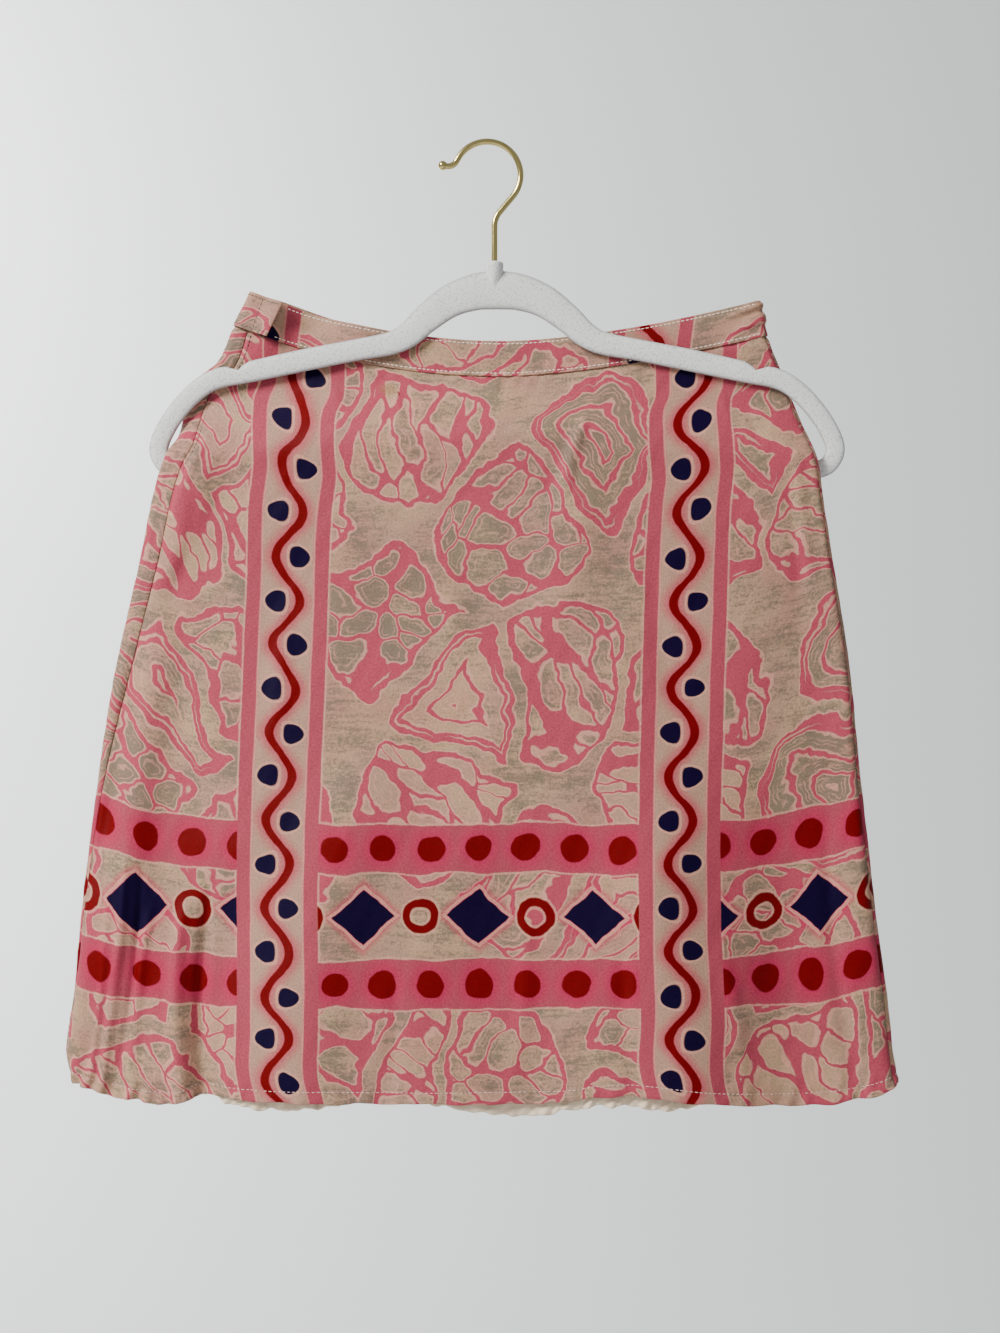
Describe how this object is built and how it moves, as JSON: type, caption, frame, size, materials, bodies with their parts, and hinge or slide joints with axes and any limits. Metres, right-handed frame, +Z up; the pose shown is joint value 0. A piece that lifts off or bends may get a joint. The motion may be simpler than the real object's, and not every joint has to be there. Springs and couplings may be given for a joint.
{
  "type": "mini skirt on a hanger",
  "caption": "A-line mini skirt with a straight waistband and a lining, hung through a closed flocked clothes hanger with a wire hook.",
  "frame": {"origin": "inside top of the hook, where a rail, nail or peg carries the hanger", "axes": "+X to the right of someone facing the skirt's front, +Y away from that viewer, +Z up"},
  "size_m": [0.533, 0.0608, 0.6168],
  "materials": {
    "printed_cloth": "soft satin weave, printed in pink, red and violet on mottled cream and sage grey",
    "waistband_cloth": "the same printed cloth, interfaced and topstitched",
    "lining_cloth": "plain cream lining cloth, soft sheen",
    "flocked_plastic": "pale flocked plastic, matte and velvety",
    "gold_wire": "pale gold plated wire, polished"
  },
  "bodies": {
    "root": {"front_panel": "printed_cloth", "back_panel": "printed_cloth", "waistband_front": "waistband_cloth", "waistband_back": "waistband_cloth", "lining": "lining_cloth", "hanger_body": "flocked_plastic", "hanger_hook": "gold_wire"}
  },
  "joints": []
}
